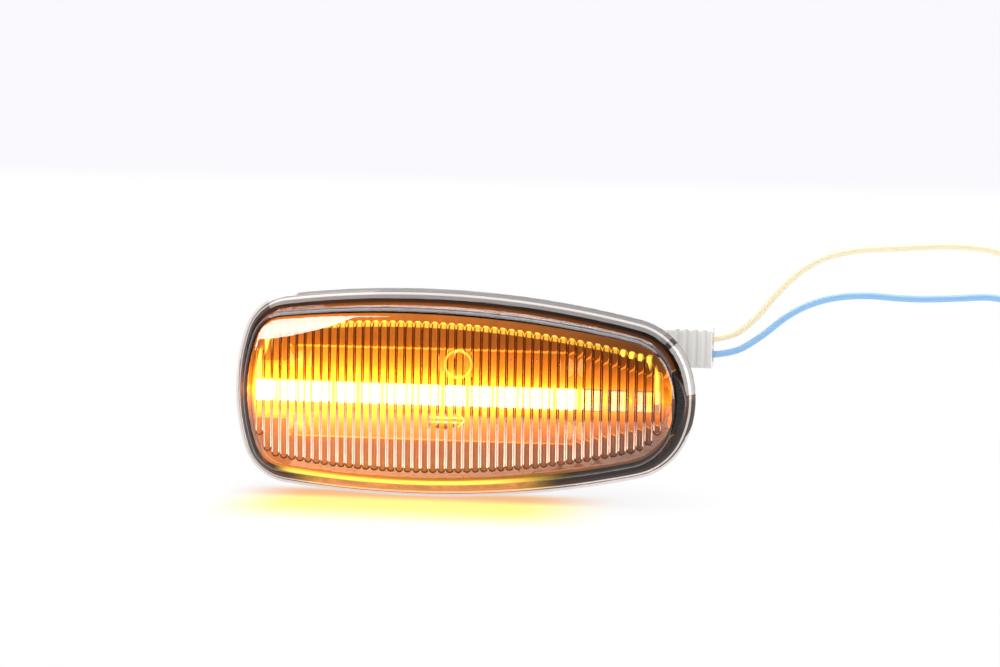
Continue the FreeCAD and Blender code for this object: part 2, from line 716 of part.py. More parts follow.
def board_screws():
    made = []
    for x, z in POST_PLACES:
        head_front = BOARD_FRONT - SCREW_HEAD_THICK
        head = rod(SCREW_HEAD_RADIUS, (x, head_front, z), (x, BOARD_FRONT, z))
        shank = rod(SCREW_RADIUS, (x, BOARD_FRONT, z), (x, FLANGE_FRONT + SCREW_LENGTH, z))
        recess_y = head_front + SCREW_RECESS
        slots = []
        for turn in (0, 90):
            long, short = SCREW_HEAD_RADIUS * 0.6, SCREW_HEAD_RADIUS * 0.16
            slot = box((-long, head_front, -short), (long, recess_y, short))
            slot.rotate(Vector(0, 0, 0), Vector(0, 1, 0), turn)
            slot.translate(Vector(x, 0, z))
            slots.append(slot)
        made.append(joined(head, [shank]).cut(slots))
    return Part.makeCompound(made)


def on_board_back(x, z, long, wide, thick):
    """A block that sits on the back of the light board."""
    low = (x - long / 2, FLANGE_FRONT, z - wide / 2)
    return box(low, (x + long / 2, FLANGE_FRONT + thick, z + wide / 2))


def chip_resistors():
    made = []
    for i in range(RESISTOR_COUNT):
        x = RESISTOR_FIRST_X + i * RESISTOR_PITCH
        made.append(on_board_back(x, RESISTOR_Z, RESISTOR_WIDE, RESISTOR_LONG, RESISTOR_THICK))
    return Part.makeCompound(made)


def driver_chip():
    legs = []
    reach = CHIP_WIDE + 2 * CHIP_LEG_REACH
    for i in range(CHIP_LEGS):
        x = CHIP_X + (i - (CHIP_LEGS - 1) / 2) * CHIP_LEG_PITCH
        legs.append(on_board_back(x, 0, CHIP_LEG, reach, CHIP_LEG))
    return joined(on_board_back(CHIP_X, 0, CHIP_LONG, CHIP_WIDE, CHIP_THICK), legs)


def polarity_diode():
    tabs = on_board_back(DIODE_X, 0, DIODE_LONG + CHIP_LEG_REACH, DIODE_WIDE / 2, CHIP_LEG)
    return joined(on_board_back(DIODE_X, 0, DIODE_LONG, DIODE_WIDE, DIODE_THICK), [tabs])


def filter_capacitor():
    foot = on_board_back(CAPACITOR_X, 0, CAPACITOR_FOOT, CAPACITOR_FOOT, CAPACITOR_FOOT_THICK)
    foot_top = FLANGE_FRONT + CAPACITOR_FOOT_THICK
    can = rod(CAPACITOR_RADIUS, (CAPACITOR_X, foot_top, 0),
              (CAPACITOR_X, FLANGE_FRONT + CAPACITOR_TALL, 0))
    return joined(foot, [can])


# Terminal pins and the seal around them


def pin_heights():
    """The middle of the upper (yellow) and of the lower (blue) circuit."""
    return CONNECTOR_Z + PIN_PITCH / 2, CONNECTOR_Z - PIN_PITCH / 2


def pin_leg_corners(x, back):
    """A pin's upright leg, from the front of the board back to some plane."""
    half = PIN_SIZE / 2
    return (x - half, BOARD_FRONT, PIN_LEG_Z - half), (x + half, back, PIN_LEG_Z + half)


def terminal_pin(x, z):
    """A pin from the board, back through the passage, up and out into the socket."""
    half = PIN_SIZE / 2
    back = CONNECTOR_Y + half
    leg = box(*pin_leg_corners(x, back))
    rise_low = (x - half, CONNECTOR_Y - half, min(PIN_LEG_Z, z) - half)
    rise = box(rise_low, (x + half, back, max(PIN_LEG_Z, z) + half))
    blade = box((x - half, CONNECTOR_Y - half, z - half), (PIN_TIP, back, z + half))
    return joined(leg, [rise, blade])


def terminal_pins():
    return [terminal_pin(x, z) for x, z in zip(PIN_LEG_X, pin_heights())]


def potting_seal():
    """Sealing compound against the inner side of the socket's floor."""
    right = SOCKET_FLOOR - HOUSING_WALL
    low = (right - POTTING_THICK, BODY_DEPTH, BOX_BOTTOM + HOUSING_WALL)
    high = (right, BOX_BACK - HOUSING_WALL, BOX_TOP - HOUSING_WALL)
    return box(low, high).cut(terminal_pins())


# Plug


def plug_housing():
    deep, tall = PLUG_DEEP / 2, PLUG_TALL / 2
    nose_low = (PLUG_NOSE, CONNECTOR_Y - deep, CONNECTOR_Z - tall)
    nose_high = (PLUG_BACK, CONNECTOR_Y + deep, CONNECTOR_Z + tall)
    nose = rounded_block(nose_low, nose_high, PLUG_EDGE, Vector(1, 0, 0))
    deep, tall = deep + COLLAR_GROWTH, tall + COLLAR_GROWTH
    collar_left = SOCKET_MOUTH + COLLAR_GAP
    collar_low = (collar_left, CONNECTOR_Y - deep, CONNECTOR_Z - tall)
    collar_high = (PLUG_BACK, CONNECTOR_Y + deep, CONNECTOR_Z + tall)
    collar = rounded_block(collar_low, collar_high, PLUG_EDGE, Vector(1, 0, 0))
    body = joined(nose, [collar, latch_lever()])
    cuts = []
    for i in range(GRIP_COUNT):
        x = PLUG_BACK - (i + 1) * GRIP_PITCH
        for sign in (1, -1):
            y = CONNECTOR_Y + sign * deep
            low = (x, y - GRIP_DEPTH, CONNECTOR_Z - tall)
            cuts.append(box(low, (x + GRIP_PITCH / 2, y + GRIP_DEPTH, CONNECTOR_Z + tall)))
    half = CRIMP_BOX / 2 + PLAY
    entry = PIN_SIZE / 2 + PLAY
    for z in pin_heights():
        low = (CAVITY_FRONT, CONNECTOR_Y - half, z - half)
        cuts.append(box(low, (CRIMP_BACK, CONNECTOR_Y + half, z + half)))
        low = (PLUG_NOSE, CONNECTOR_Y - entry, z - entry)
        cuts.append(box(low, (CAVITY_FRONT, CONNECTOR_Y + entry, z + entry)))
        middle = (CRIMP_BACK, CONNECTOR_Y, z)
        cuts.append(rod(SEAL_RADIUS + SEAL_RIB / 3, middle, (PLUG_BACK, CONNECTOR_Y, z)))
    return body.cut(cuts)


def latch_lever():
    half = LATCH_WIDTH / 2
    top = BOX_BOTTOM - LATCH_LIFT
    under = top - LATCH_THICK
    y0, y1 = CONNECTOR_Y - half, CONNECTOR_Y + half
    lever = box((LATCH_FRONT, y0, under), (LATCH_ROOT, y1, top))
    hook_part = box((LATCH_FRONT, y0, under), (LATCH_FRONT + LATCH_HOOK, y1, BOX_BOTTOM - FIT))
    root = box((LATCH_ROOT - 2 * LATCH_THICK, y0, under), (LATCH_ROOT, y1, CONNECTOR_Z))
    return joined(lever, [hook_part, root])


def crimp_terminal(z):
    half = CRIMP_BOX / 2
    pin = PIN_SIZE / 2 + PLAY / 2
    box_back = CAVITY_FRONT + CRIMP_BOX_LENGTH
    low = (CAVITY_FRONT, CONNECTOR_Y - half, z - half)
    cage = box(low, (box_back, CONNECTOR_Y + half, z + half))
    barrel = rod(CRIMP_BARREL_RADIUS, (box_back, CONNECTOR_Y, z), (CRIMP_BACK, CONNECTOR_Y, z))
    slot_low = (CAVITY_FRONT, CONNECTOR_Y - pin, z - pin)
    slot = box(slot_low, (PIN_TIP + PLAY, CONNECTOR_Y + pin, z + pin))
    return joined(cage, [barrel]).cut(slot)


def wire_seal(z):
    """A ribbed ring around the wire, just inside the plug's back face."""
    start = PLUG_BACK - SEAL_LENGTH
    ring = rod(SEAL_RADIUS - SEAL_RIB, (start, CONNECTOR_Y, z), (PLUG_BACK, CONNECTOR_Y, z))
    ribs = []
    width = SEAL_LENGTH / 7
    for i in (1, 3, 5):
        x = start + i * width
        ribs.append(rod(SEAL_RADIUS, (x, CONNECTOR_Y, z), (x + width, CONNECTOR_Y, z)))
    hole = rod(LEAD_DIAMETER / 2 + PLAY / 2, (start, CONNECTOR_Y, z), (PLUG_BACK, CONNECTOR_Y, z))
    return joined(ring, ribs).cut(hole)


# Spring clip


def clip_path():
    """Corners of the strip's middle line, from its screwed root to its free lip."""
    rear = BODY_DEPTH + CLIP_THICK / 2
    body_left = LEFT_END + BODY_INSET
    neck_left = LEFT_END + NECK_INSET
    return [
        (CLIP_ROOT_X, rear),
        (body_left - 2 * CLIP_THICK, rear),
        (neck_left - CLIP_OUT, CLIP_CREST_Y),
        (neck_left - CLIP_OUT / 2, CLIP_LIP_Y),
    ]


def spring_clip():
    """A bent strip of spring steel, thick to both sides of its middle line."""
    edges, _ = rounded_path([Vector(x, y, 0) for x, y in clip_path()], CLIP_BEND)
    around = Part.Wire(edges).makeOffset2D(CLIP_THICK / 2)
    strip = Part.Face(around).extrude(Vector(0, 0, CLIP_WIDTH))
    strip.translate(Vector(0, 0, -CLIP_WIDTH / 2))
    hole = rod(CLIP_SCREW_RADIUS + FIT, (CLIP_SCREW_X, BODY_DEPTH - 1, 0),
               (CLIP_SCREW_X, BODY_DEPTH + 2 * CLIP_THICK, 0))
    return strip.cut(hole)


def clip_screw():
    under = BODY_DEPTH + CLIP_THICK
    floor_y = BODY_DEPTH - HOUSING_WALL
    head = rod(CLIP_HEAD_RADIUS, (CLIP_SCREW_X, under, 0), (CLIP_SCREW_X, under + CLIP_HEAD_THICK, 0))
    rounded = head.makeFillet(CLIP_HEAD_THICK / 2, [head.Edges[0] if
                              head.Edges[0].CenterOfMass.y > under else head.Edges[2]])
    shank = rod(CLIP_SCREW_RADIUS, (CLIP_SCREW_X, floor_y - CLIP_BOSS_RADIUS, 0),
                (CLIP_SCREW_X, under, 0))
    return joined(rounded, [shank])


# Leads


def lead_route(colour):
    """Straight out of the crimp, up in an arch and down to the floor beside the lamp."""
    z = dict(zip(LEADS, pin_heights()))[colour]
    route = [Vector(CRIMP_BACK, CONNECTOR_Y, z), Vector(CRIMP_BACK + LEAD_EXIT, CONNECTOR_Y, z)]
    for along, behind, above in LEADS[colour]:
        route.append(Vector(CRIMP_BACK + along, CONNECTOR_Y + behind, above - HALF_HEIGHT))
    return route


def lead(colour):
    points = lead_route(colour)
    edges, radii = rounded_path(points)
    path = Part.Wire(edges)
    ring = Part.makeCircle(LEAD_DIAMETER / 2, points[0], points[1] - points[0])
    tube = path.makePipeShell([Part.Wire([ring])], True, False)
    shown = ", ".join(f"{r:.1f}" for r in radii)
    wanted = math.pi * (LEAD_DIAMETER / 2) ** 2 * path.Length
    print(f"{colour} lead: {path.Length:.1f} mm long, radii {shown}")
    print(f"{colour} lead: volume {tube.Volume:.2f}, section times length {wanted:.2f}")
    return tube


def lead_tip(colour):
    before, last = lead_route(colour)[-2:]
    return Part.makeCylinder(TIP_RADIUS, TIP_LENGTH, last, last - before)


os.makedirs("parts", exist_ok=True)
save("seal_gasket", seal_gasket())
save("outer_lens", outer_lens())
save("lamp_housing", lamp_housing())
save("vent_membrane", vent_membrane())
save("light_board", light_board())
for i in range(LED_COUNT):
    save(f"led_{i + 1:02d}", led(LED_FIRST_X + i * LED_PITCH))
save("board_screws", board_screws())
save("chip_resistors", chip_resistors())
save("driver_chip", driver_chip())
save("polarity_diode", polarity_diode())
save("filter_capacitor", filter_capacitor())
for name, z, pin in zip(("upper", "lower"), pin_heights(), terminal_pins()):
    save(f"{name}_terminal_pin", pin)
    save(f"{name}_crimp_terminal", crimp_terminal(z))
    save(f"{name}_wire_seal", wire_seal(z))
save("potting_seal", potting_seal())
save("plug_housing", plug_housing())
save("spring_clip", spring_clip())
save("clip_screw", clip_screw())
for colour in LEADS:
    save(f"{colour}_lead", lead(colour))
    save(f"{colour}_lead_tip", lead_tip(colour))
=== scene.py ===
import math

import bpy
from mathutils import Matrix, Vector


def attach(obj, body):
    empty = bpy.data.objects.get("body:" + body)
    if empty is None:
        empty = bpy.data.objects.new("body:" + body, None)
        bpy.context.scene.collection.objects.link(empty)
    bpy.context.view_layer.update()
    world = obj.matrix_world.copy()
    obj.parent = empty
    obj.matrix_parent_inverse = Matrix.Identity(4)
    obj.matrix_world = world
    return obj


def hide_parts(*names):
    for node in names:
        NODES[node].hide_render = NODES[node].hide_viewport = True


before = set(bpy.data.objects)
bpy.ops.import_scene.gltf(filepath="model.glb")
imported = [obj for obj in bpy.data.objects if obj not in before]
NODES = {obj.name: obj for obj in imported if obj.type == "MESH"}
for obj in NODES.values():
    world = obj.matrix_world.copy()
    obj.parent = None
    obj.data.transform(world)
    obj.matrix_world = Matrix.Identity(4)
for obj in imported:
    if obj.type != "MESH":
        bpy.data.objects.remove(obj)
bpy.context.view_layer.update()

# A side marker turn signal of a car, lit amber behind its smoked lens, with a
# plug and two leads. Metres: X along the lamp, -Y towards the viewer, Z up.
MM = 0.001

# The view, as the photograph shows the lamp
AZIMUTH = 8.6             # degrees from the lamp's front, towards its right end
ELEVATION = 5.0
ROLL = 0.9
DISTANCE = 0.7
FOCAL_MM = 106.8
SENSOR_MM = 36.0
NEAREST = 0.02
FARTHEST = 20.0
AIM = (0.0083, 0.0, 0.0144)


def linear(colour):
    """A hex sRGB colour as the linear colour that a shader takes."""
    parts = [int(colour[i:i + 2], 16) / 255 for i in (1, 3, 5)]
    return [p / 12.92 if p <= 0.04045 else ((p + 0.055) / 1.055) ** 2.4 for p in parts] + [1.0]


def new_material(name):
    material = bpy.data.materials.new(name)
    material.use_nodes = True
    material.node_tree.nodes.clear()
    return material


def add(material, kind, values, **settings):
    """One node of a material, with its settings, and each input's value or the output that feeds
    it. The air around the lamp takes nodes in the same way."""
    node = material.node_tree.nodes.new("ShaderNode" + kind)
    for name, value in settings.items():
        setattr(node, name, value)
    for name, value in values.items():
        socket = node.inputs[name]
        if isinstance(value, bpy.types.NodeSocket):
            material.node_tree.links.new(value, socket)
        else:
            socket.default_value = value
    return node


def finish_with(material, shader):
    add(material, "OutputMaterial", {"Surface": shader})
    return material


def math_of(material, operation, *values):
    return add(material, "Math", dict(enumerate(values)), operation=operation).outputs["Value"]


def product(material, *values):
    found = values[0]
    for value in values[1:]:
        found = math_of(material, "MULTIPLY", found, value)
    return found


def ramp(material, value, start, end, low=0.0, high=1.0, kind="SMOOTHSTEP"):
    """Low where a value is at start, high where it is at end, and a passage between them."""
    return add(material, "MapRange", {
        "Value": value, "From Min": start, "From Max": end, "To Min": low, "To Max": high,
    }, interpolation_type=kind).outputs["Result"]


def blend(material, share, one, other):
    """One colour where the share is 0, the other where it is 1."""
    return add(material, "Mix", {
        "Factor": share, "A": one, "B": other,
    }, data_type="RGBA").outputs["Result"]


def noise(material, place, size, detail=3.0):
    """Uneven patches of a size, from 0 to 1."""
    return add(material, "TexNoise", {
        "Vector": place, "Scale": 1 / size, "Detail": detail,
    }).outputs["Fac"]


def fine_grain(material, place, size, strength, height):
    """How the grain of a skin tilts the light on it. It is too fine to be shape."""
    return add(material, "Bump", {
        "Height": noise(material, place, size), "Strength": strength, "Distance": height,
    }).outputs["Normal"]


def own_place(material):
    """A point's place on the lamp, and the same as its X, Y and Z."""
    place = add(material, "TexCoord", {}).outputs["Object"]
    return place, add(material, "SeparateXYZ", {"Vector": place}).outputs


def off_from(material, value, middle):
    """How far a value is from a middle, on either side of it."""
    return math_of(material, "ABSOLUTE", math_of(material, "SUBTRACT", value, middle))


def within(material, value, middle, half):
    """1 where a value is within half of the middle, else 0."""
    return math_of(material, "LESS_THAN", off_from(material, value, middle), half)


def between(material, value, low, high):
    return within(material, value, (low + high) / 2, (high - low) / 2)


def off_nearest(material, x, first, pitch):
    """How far a place along the lamp is from the nearest of an even row of places."""
    turns = math_of(material, "DIVIDE", math_of(material, "SUBTRACT", x, first), pitch)
    return product(material, off_from(material, turns, math_of(material, "ROUND", turns)), pitch)


# Camera


def photo_camera():
    turn = math.radians(AZIMUTH)
    lift = math.radians(ELEVATION)
    away = Vector((
        math.sin(turn) * math.cos(lift),
        -math.cos(turn) * math.cos(lift),
        math.sin(lift),
    ))
    optics = bpy.data.cameras.new("photo_camera")
    optics.lens = FOCAL_MM
    optics.sensor_width = SENSOR_MM
    optics.clip_start = NEAREST
    optics.clip_end = FARTHEST
    camera = bpy.data.objects.new("photo_camera", optics)
    bpy.context.scene.collection.objects.link(camera)
    place = Matrix.Translation(Vector(AIM) + away * DISTANCE)
    look = away.to_track_quat("Z", "Y").to_matrix().to_4x4()
    camera.matrix_world = place @ look @ Matrix.Rotation(math.radians(ROLL), 4, "Z")
    bpy.context.scene.camera = camera


photo_camera()

# The two leads: the routes of their middles, in millimetres

LEAD_RADIUS = 0.8 * MM
LEADS = {
    "yellow": {
        "length": 0.1688,
        "route": [
            (53.0, 21.0, 12.6), (61.0, 21.0, 12.6), (67.5, 21.8, 18.2), (73.0, 23.0, 25.4),
            (80.0, 24.8, 31.6), (89.0, 26.8, 34.6), (101.0, 29.2, 35.2), (114.0, 31.6, 36.0),
            (125.0, 33.6, 34.8), (134.0, 35.4, 29.4), (139.5, 36.8, 20.2), (142.2, 38.0, 9.0),
            (144.0, 39.0, -3.0), (145.5, 42.5, -13.3), (147.0, 50.6, -21.1),
            (148.5, 60.8, -23.9), (150.0, 71.0, -23.9),
        ],
    },
    "blue": {
        "length": 0.1467,
        "route": [
            (53.0, 21.0, 8.8), (61.0, 21.0, 8.8), (68.5, 21.8, 13.4), (75.0, 23.0, 19.2),
            (83.0, 24.8, 22.8), (92.5, 26.8, 23.9), (103.0, 28.8, 22.9), (114.0, 30.8, 23.2),
            (124.5, 32.6, 24.0), (132.5, 34.0, 20.4), (137.0, 35.2, 11.8), (138.6, 36.4, 1.0),
            (139.0, 38.0, -9.5), (139.8, 43.6, -18.3), (140.8, 53.0, -23.9), (141.8, 62.4, -23.9),
        ],
    },
}
JACKET_DRIFT = 18 * MM    # length of a patch of one colour
JACKET_GRAIN = 0.3 * MM
JACKET_GRAIN_HEIGHT = 0.05 * MM
JACKET_GRAIN_STRENGTH = 0.01


def pvc_wire_jacket(name, colour, shade):
    """Extruded flexible PVC: satin, with faint draw lines and a little colour drift along it."""
    material = new_material(name)
    place, _ = own_place(material)
    drift = noise(material, place, JACKET_DRIFT, 1.0)
    shader = add(material, "BsdfPrincipled", {
        "Base Color": blend(material, drift, linear(colour), linear(shade)),
        "Roughness": 0.38,
        "IOR": 1.53,
        "Normal": fine_grain(
            material, place, JACKET_GRAIN, JACKET_GRAIN_STRENGTH, JACKET_GRAIN_HEIGHT,
        ),
    })
    return finish_with(material, shader.outputs["BSDF"])


def lead(colour, facts, jacket):
    """One insulated wire, round in section, as a smooth line that its route pulls along."""
    curve = bpy.data.curves.new(f"{colour}_lead_wire", "CURVE")
    curve.dimensions = "3D"
    curve.bevel_depth = LEAD_RADIUS
    curve.bevel_resolution = 6
    curve.resolution_u = 10
    curve.use_fill_caps = True
    spline = curve.splines.new("NURBS")
    spline.points.add(len(facts["route"]) - 1)
    for point, place in zip(spline.points, facts["route"]):
        point.co = [c * MM for c in place] + [1.0]
    spline.order_u = 3
    spline.use_endpoint_u = True
    wire = bpy.data.objects.new(f"{colour}_lead_wire", curve)
    bpy.context.scene.collection.objects.link(wire)
    wire.data.materials.append(jacket)
    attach(wire, "root")
    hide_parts(f"{colour}_lead")


lead("yellow", LEADS["yellow"], pvc_wire_jacket("yellow_pvc_wire_jacket", "#FFF4D2", "#FCEBBC"))
lead("blue", LEADS["blue"], pvc_wire_jacket("blue_pvc_wire_jacket", "#9CCBF0", "#86BDEB"))

# The lens

# The outline seen from the front, as three arcs
HALF_LENGTH = 55 * MM
HALF_HEIGHT = 24.7 * MM
PEAK_X = -11 * MM
TOP_RADIUS = 235 * MM
LEFT_RADIUS = 46 * MM
RIGHT_RADIUS = 24 * MM
# What the smoke leaves of red, green and blue, and how thick it is in the plastic
SMOKE_COLOUR = [0.47, 0.27, 0.14, 1.0]
SMOKE_DENSITY = 300.0
ACRYLIC_IOR = 1.49
# The colours of the glow painted on the lens, for the light that the plastic guides
PAINTED_YELLOW_GLOW = [1.0, 0.62, 0.07, 1.0]
PAINTED_ORANGE_GLOW = [1.0, 0.36, 0.12, 1.0]
# How brightly the glow painted on each form of the lens shines
MARK_PAINTED_GLOW = 2.0
LUG_EDGE_PAINTED_HIGHLIGHT = 0.25
BEAD_PAINTED_GLOW = 2.6
BLOOM_PAINTED_GLOW = 9.0
RIM_PAINTED_GLOW = 0.55
SHOULDER_PAINTED_GLOW = 1.5
# The ring and the arrow, along which a glow is painted
RING_X = 0.4 * MM
RING_Z = 7.9 * MM
RING_RADIUS = 3.1 * MM
MARK_HALF_STROKE = 0.3 * MM
ARROW_X = -2.2 * MM
ARROW_Z = -5.1 * MM
ARROW_HALF_LENGTH = 3.5 * MM
ARROW_HALF_SPREAD = 0.55 * MM
ARROW_HEAD = 1.6 * MM
# The flutes, from the first one on the left, and the bead of light painted at the top of each
FLUTE_SIDE_Y = -12.4 * MM     # between the lens's outer face and its fluted inner face
FLUTE_FIRST_X = -47.2 * MM
FLUTE_PITCH = 2.0 * MM
BEAD_INSET = (7.0 * MM, 8.5 * MM)
BEAD_HALF = 0.45 * MM
BEAD_SOFT = 0.15 * MM
BEAD_FADE_X = (-40 * MM, 50 * MM)
BEAD_RIGHT_SHARE = 0.5
# The LED row, and the bloom painted on the plastic in front of each fully lit LED
LED_FIRST_X = -46.4 * MM
LED_PITCH = 6.47 * MM
BLOOM_SHIFT = (1.15 * MM, 0.65 * MM)    # from an LED to the plastic that it is seen through
BLOOM_HALF = (2.0 * MM, 1.8 * MM)
BLOOM_SOFT = 0.7 * MM
BLOOM_X = (-49.5 * MM, 27.5 * MM)       # from the first to the last fully lit LED
# The yellow line of light painted along the lower shoulder, and the orange glow painted on the rim
# # below it: insets from the outline, depth, and where each comes up on the left and dies out on the
# right
SHOULDER_OUTER = (3.9 * MM, 4.3 * MM)
SHOULDER_INNER = (5.6 * MM, 4.8 * MM)
SHOULDER_Y = (-8.5 * MM, -10.5 * MM)
SHOULDER_LEFT = (-44 * MM, -38 * MM)
SHOULDER_RIGHT = (28 * MM, 4 * MM)
RIM_INSET = (1.2 * MM, 3.7 * MM)
RIM_LEFT = (-42 * MM, -30 * MM)
RIM_RIGHT = (24 * MM, 10 * MM)
# The D-shaped lug at the right end, with a highlight painted along its edge
LUG_X = 49.5 * MM
LUG_HALF = 7.65 * MM
LUG_FRONT_Y = -9.9 * MM
LUG_BACK_Y = -4.9 * MM
LUG_EDGE = 0.25 * MM
LUG_ROUGHNESS = 0.18
LUG_CLOUDING = 0.75           # share of the light that the lug doesn't let through
LUG_GRAIN = 0.45 * MM
LUG_GRAIN_HEIGHT = 0.12 * MM
LUG_GRAIN_STRENGTH = 0.6


def inset_from_outline(material, parts):
    """How far inside the lamp's outline a point is, seen from the front."""
    x = parts["X"]
    side = math_of(material, "ABSOLUTE", parts["Z"])
    square = product(material, side, side)
    past_peak = math_of(material, "SUBTRACT", x, PEAK_X)
    bow = math_of(material, "DIVIDE", product(material, past_peak, past_peak), 2 * TOP_RADIUS)
    over = math_of(material, "SUBTRACT", math_of(material, "SUBTRACT", HALF_HEIGHT, bow), side)
    from_left = math_of(material, "ADD", x, HALF_LENGTH)
    from_right = math_of(material, "SUBTRACT", HALF_LENGTH, x)
    left = math_of(material, "MULTIPLY_ADD", square, -0.5 / LEFT_RADIUS, from_left)
    right = math_of(material, "MULTIPLY_ADD", square, -0.5 / RIGHT_RADIUS, from_right)
    return math_of(material, "MINIMUM", over, math_of(material, "MINIMUM", left, right))


def inner_face(material, parts):
    """1 on the lens's fluted inner face, 0 on its outer face."""
    return math_of(material, "GREATER_THAN", parts["Y"], FLUTE_SIDE_Y)


def painted_mark_glow(material, parts):
    """Where a glow is painted along the ring and the arrow, on the lens's inner face."""
    x, z = parts["X"], parts["Z"]
    up = math_of(material, "SUBTRACT", z, RING_Z)
    across = math_of(material, "SUBTRACT", x, RING_X)
    square = math_of(material, "MULTIPLY_ADD", up, up, product(material, across, across))
    ring = within(material, math_of(material, "SQRT", square), RING_RADIUS, MARK_HALF_STROKE)
    off = off_from(material, z, ARROW_Z)
    rails = product(
        material,
        within(material, off, ARROW_HALF_SPREAD, MARK_HALF_STROKE / 2),
        within(material, x, ARROW_X, ARROW_HALF_LENGTH),
    )
    to_tip = math_of(material, "SUBTRACT", ARROW_X + ARROW_HALF_LENGTH + ARROW_HEAD / 2, x)
    head = product(
        material,
        within(material, off, to_tip, MARK_HALF_STROKE),
        between(material, to_tip, 0.0, ARROW_HEAD),
    )
    lines = math_of(material, "MAXIMUM", math_of(material, "MAXIMUM", ring, rails), head)
    return product(material, lines, inner_face(material, parts))


def painted_flute_beads(material, parts, inset):
    """Where a bead of light is painted at the top of each flute, fainter towards the right."""
    across = off_nearest(material, parts["X"], FLUTE_FIRST_X, FLUTE_PITCH)
    return product(
        material,
        math_of(material, "GREATER_THAN", parts["Z"], 0.0),
        inner_face(material, parts),
        between(material, inset, *BEAD_INSET),
        ramp(material, across, BEAD_HALF + BEAD_SOFT, BEAD_HALF - BEAD_SOFT),
        ramp(material, parts["X"], *BEAD_FADE_X, 1.0, BEAD_RIGHT_SHARE, "LINEAR"),
    )


def painted_bloom_of_row(material, parts):
    """Where a bloom is painted on the plastic in front of each fully lit LED, for the light it
    scatters.
    """
    x = math_of(material, "SUBTRACT", parts["X"], BLOOM_SHIFT[0])
    across = off_nearest(material, x, LED_FIRST_X, LED_PITCH)
    tall = off_from(material, parts["Z"], BLOOM_SHIFT[1])
    return product(
        material,
        ramp(material, across, BLOOM_HALF[0] + BLOOM_SOFT, BLOOM_HALF[0]),
        ramp(material, tall, BLOOM_HALF[1] + BLOOM_SOFT, BLOOM_HALF[1]),
        between(material, x, *BLOOM_X),
        inner_face(material, parts),
    )


def painted_shoulder_line(material, parts, inset):
    """Where a yellow line of light is painted along the lens's lower shoulder, for the row's light
    coming out there.
    """
    return product(
        material,
        math_of(material, "LESS_THAN", parts["Z"], 0.0),
        ramp(material, inset, *SHOULDER_OUTER),
        ramp(material, inset, *SHOULDER_INNER),
        ramp(material, parts["Y"], *SHOULDER_Y),
        ramp(material, parts["X"], *SHOULDER_LEFT),
        ramp(material, parts["X"], *SHOULDER_RIGHT),
    )


def painted_rim_glow(material, parts, inset):
    """The rim of the lens below that line, where an orange glow is painted for the light coming out
    there.
    """
    return product(
        material,
        math_of(material, "LESS_THAN", parts["Z"], 0.0),
        between(material, inset, *RIM_INSET),
        ramp(material, parts["X"], *RIM_LEFT),
        ramp(material, parts["X"], *RIM_RIGHT),
    )


def right_lug(material, parts):
    return product(
        material,
        math_of(material, "GREATER_THAN", parts["X"], LUG_X),
        within(material, parts["Z"], 0.0, LUG_HALF),
        math_of(material, "GREATER_THAN", parts["Y"], LUG_FRONT_Y),
        math_of(material, "LESS_THAN", parts["Y"], LUG_BACK_Y),
    )


def smoked_acrylic():
    """Injection-moulded PMMA with a grey-brown smoke in it and a polished skin: thin edges stay
    clear and thick ones go dark, and the highlights on it are sharp. A glow is painted on it
    where the plastic would guide the LEDs' light out: at its ring and arrow, at the flutes'
    tops, along its lower shoulder with an orange rim below, and as a bloom in front of each lit
    LED. The lug at the right end is spark-eroded: dark, cloudy and grainy, with a faint painted
    highlight along its edge."""
    material = new_material("smoked_moulded_acrylic")
    place, parts = own_place(material)
    inset = inset_from_outline(material, parts)
    lug = right_lug(material, parts)
    # The rim below the shoulder, where an orange glow is painted
    rim = painted_rim_glow(material, parts, inset)
    side = math_of(material, "ABSOLUTE", parts["Z"])
    # A highlight painted along the lug's upper and lower edges
    lug_edge_painted_highlight = product(
        material, lug, math_of(material, "GREATER_THAN", side, LUG_HALF - LUG_EDGE),
    )
    # Painted light: the glow and the edge highlight that each form of the lens gives off, added up
    painted_light = 0.0
    for form, strength in (
        (painted_mark_glow(material, parts), MARK_PAINTED_GLOW),
        (lug_edge_painted_highlight, LUG_EDGE_PAINTED_HIGHLIGHT),
        (painted_flute_beads(material, parts, inset), BEAD_PAINTED_GLOW),
        (painted_bloom_of_row(material, parts), BLOOM_PAINTED_GLOW),
        (rim, RIM_PAINTED_GLOW),
        (painted_shoulder_line(material, parts, inset), SHOULDER_PAINTED_GLOW),
    ):
        painted_light = math_of(material, "MULTIPLY_ADD", form, strength, painted_light)
    lug_grain = product(material, lug, LUG_GRAIN_STRENGTH)
    shader = add(material, "BsdfPrincipled", {
        "Base Color": blend(material, lug, linear("#FFFFFF"), linear("#211D1C")),
        "Roughness": product(material, lug, LUG_ROUGHNESS),
        "IOR": ACRYLIC_IOR,
        "Transmission Weight": math_of(material, "MULTIPLY_ADD", lug, -LUG_CLOUDING, 1.0),
        "Normal": fine_grain(material, place, LUG_GRAIN, lug_grain, LUG_GRAIN_HEIGHT),
        "Emission Color": blend(material, rim, PAINTED_YELLOW_GLOW, PAINTED_ORANGE_GLOW),
        "Emission Strength": painted_light,
    })
    # Its shadow is that of smoked plastic, not of something solid
    clear = add(material, "BsdfTransparent", {"Color": linear("#F2F2F2")})
    ray = add(material, "LightPath", {})
    mix = add(material, "MixShader", {
        "Fac": ray.outputs["Is Shadow Ray"], 1: shader.outputs["BSDF"], 2: clear.outputs["BSDF"],
    })
    smoke = add(material, "VolumeAbsorption", {"Color": SMOKE_COLOUR, "Density": SMOKE_DENSITY})
    add(material, "OutputMaterial", {
        "Surface": mix.outputs["Shader"], "Volume": smoke.outputs["Volume"],
    })
    return material


